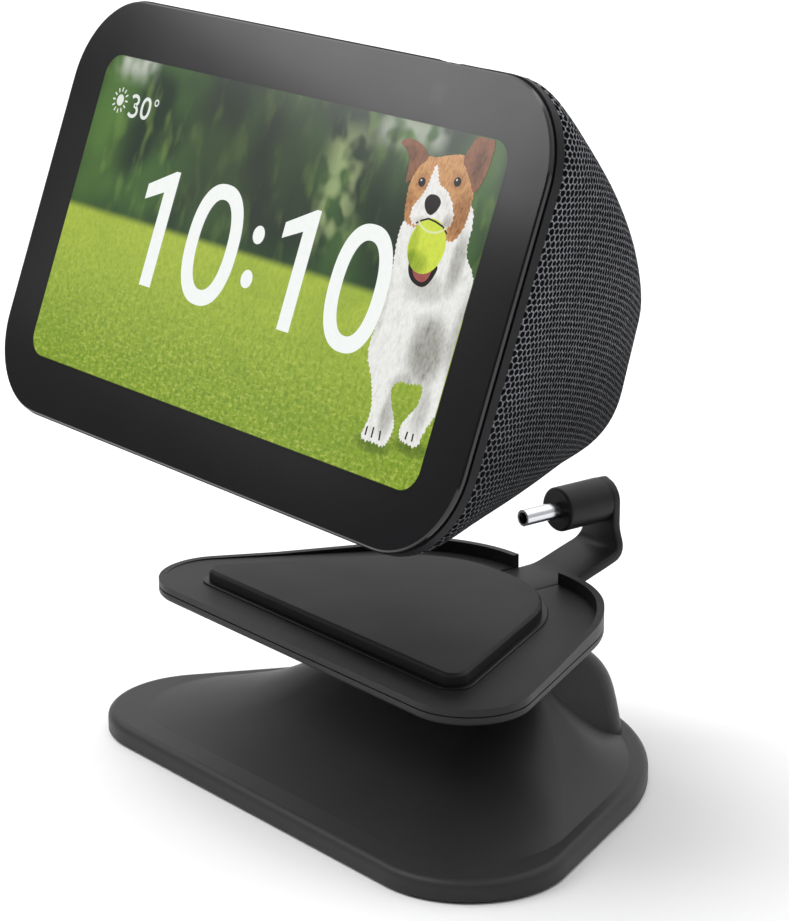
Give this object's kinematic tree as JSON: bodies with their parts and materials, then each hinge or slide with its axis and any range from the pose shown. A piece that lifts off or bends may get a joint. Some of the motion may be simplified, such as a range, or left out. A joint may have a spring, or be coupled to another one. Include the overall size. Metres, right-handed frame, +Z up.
{
  "type": "smart display on a tilting charging stand",
  "caption": "Wedge-shaped smart display with a fabric back, lifted off a two-tier tilting charging stand that carries a rubber strap with a barrel plug.",
  "frame": {"origin": "centre of the stand's footprint, on the desk", "axes": "+X to the right of someone who faces the screen, the screen looks towards -Y, +Z up"},
  "size_m": [0.1472, 0.1056, 0.1515],
  "materials": {
    "bezel_glass": "cover glass, black ink behind the bezel",
    "frame_plastic": "matte black",
    "gasket_foam": "foam",
    "screen": "lit picture",
    "panel_steel": "stamped",
    "lens_glass": "lens",
    "dark_plastic": "moulded",
    "shutter_plastic": "moulded",
    "knit_fabric": "charcoal knit",
    "housing_plastic": "moulded",
    "foot_rubber": "matte",
    "screw_steel": "machined",
    "bar_plastic": "soft touch",
    "button_plastic": "soft touch",
    "circuit_board": "solder mask",
    "speaker_paper": "paper cone",
    "magnet_ferrite": "ferrite",
    "chip_plastic": "epoxy",
    "sink_aluminium": "black anodised fins",
    "contact_brass": "plated",
    "flex_film": "film",
    "stand_plastic": "soft touch charcoal",
    "pad_rubber": "smooth rubber",
    "lip_plastic": "satin edge",
    "magnet_nickel": "nickel plate",
    "strap_rubber": "smooth rubber",
    "plug_rubber": "satin rubber",
    "barrel_nickel": "nickel plate",
    "insulator_plastic": "moulded",
    "hinge_steel": "zinc plated",
    "washer_steel": "spring steel",
    "base_plastic": "soft touch charcoal",
    "cover_plastic": "textured",
    "ballast_steel": "plain plate",
    "port_steel": "stainless"
  },
  "bodies": {
    "base": {"base_shell": "base_plastic", "base_bottom_cover": "cover_plastic", "base_foot_pad": "foot_rubber", "ballast_plate": "ballast_steel", "base_screws": "screw_steel", "hinge_bracket_fixed": "hinge_steel", "hinge_screws": "screw_steel", "power_board": "circuit_board", "usb_c_port": "port_steel", "power_inlet_jack": "dark_plastic", "inlet_terminals": "contact_brass"},
    "tray": {"tray_plate": "stand_plastic", "tray_underside_cover": "stand_plastic", "tray_screws": "screw_steel", "dock_pad": "pad_rubber", "dock_pad_lip": "lip_plastic", "pad_magnets": "magnet_nickel", "plug_strap": "strap_rubber", "hinge_bracket_tilting": "hinge_steel", "hinge_shaft": "hinge_steel", "hinge_nut": "screw_steel", "friction_washers": "washer_steel"},
    "plug": {"plug_housing": "plug_rubber", "plug_barrel": "barrel_nickel", "plug_insulator": "insulator_plastic", "plug_centre_contact": "contact_brass"},
    "display": {"front_glass": "bezel_glass", "front_frame": "frame_plastic", "panel_gasket": "gasket_foam", "lcd_panel": "screen", "panel_backplate": "panel_steel", "camera_lens": "lens_glass", "camera_module": "dark_plastic", "fabric_cover": "knit_fabric", "rear_housing": "housing_plastic", "bottom_foot": "foot_rubber", "housing_screws": "screw_steel", "button_bar": "bar_plastic", "microphone_board": "circuit_board", "speaker_gasket": "gasket_foam", "speaker_basket": "panel_steel", "speaker_cone": "speaker_paper", "speaker_magnet": "magnet_ferrite", "main_board": "circuit_board", "board_chips": "chip_plastic", "heat_sink": "sink_aluminium", "board_standoffs": "contact_brass", "board_screws": "screw_steel", "panel_flex": "flex_film", "keeper_plate": "panel_steel", "port_bezel": "dark_plastic", "power_jack": "dark_plastic", "jack_terminals": "contact_brass"},
    "volume_down": {"volume_down_button": "button_plastic"},
    "volume_up": {"volume_up_button": "button_plastic"},
    "microphone_off": {"microphone_off_button": "button_plastic"},
    "shutter": {"shutter_blade": "shutter_plastic", "shutter_slider": "shutter_plastic"}
  },
  "joints": [
    {"name": "stand_tilt", "type": "hinge", "parent": "base", "child": "tray", "pos_m": [0, 0.016, 0.024], "axis": [1, 0, 0], "range_deg": [-15, 20]},
    {"name": "display_seat", "type": "slide", "parent": "tray", "child": "display", "axis": [0, 0.0556, -0.9985], "range_m": [0, 0.03596]},
    {"name": "plug_draw", "type": "slide", "parent": "tray", "child": "plug", "axis": [0, 1, 0], "range_m": [0, 0.0105], "deforming": ["plug_strap"]},
    {"name": "volume_down_press", "type": "slide", "parent": "display", "child": "volume_down", "axis": [0, -0.6696, -0.7427], "range_m": [0, 0.0005], "stiffness_N_per_m": 900},
    {"name": "volume_up_press", "type": "slide", "parent": "display", "child": "volume_up", "axis": [0, -0.6696, -0.7427], "range_m": [0, 0.0005], "stiffness_N_per_m": 900},
    {"name": "microphone_off_press", "type": "slide", "parent": "display", "child": "microphone_off", "axis": [0, -0.6696, -0.7427], "range_m": [0, 0.0005], "stiffness_N_per_m": 900},
    {"name": "camera_shutter", "type": "slide", "parent": "display", "child": "shutter", "axis": [-1, 0, 0], "range_m": [0, 0.0056]}
  ],
  "couplings": [
    {"joint": "plug_draw", "follows": "display_seat", "ratio": 0.29203}
  ]
}
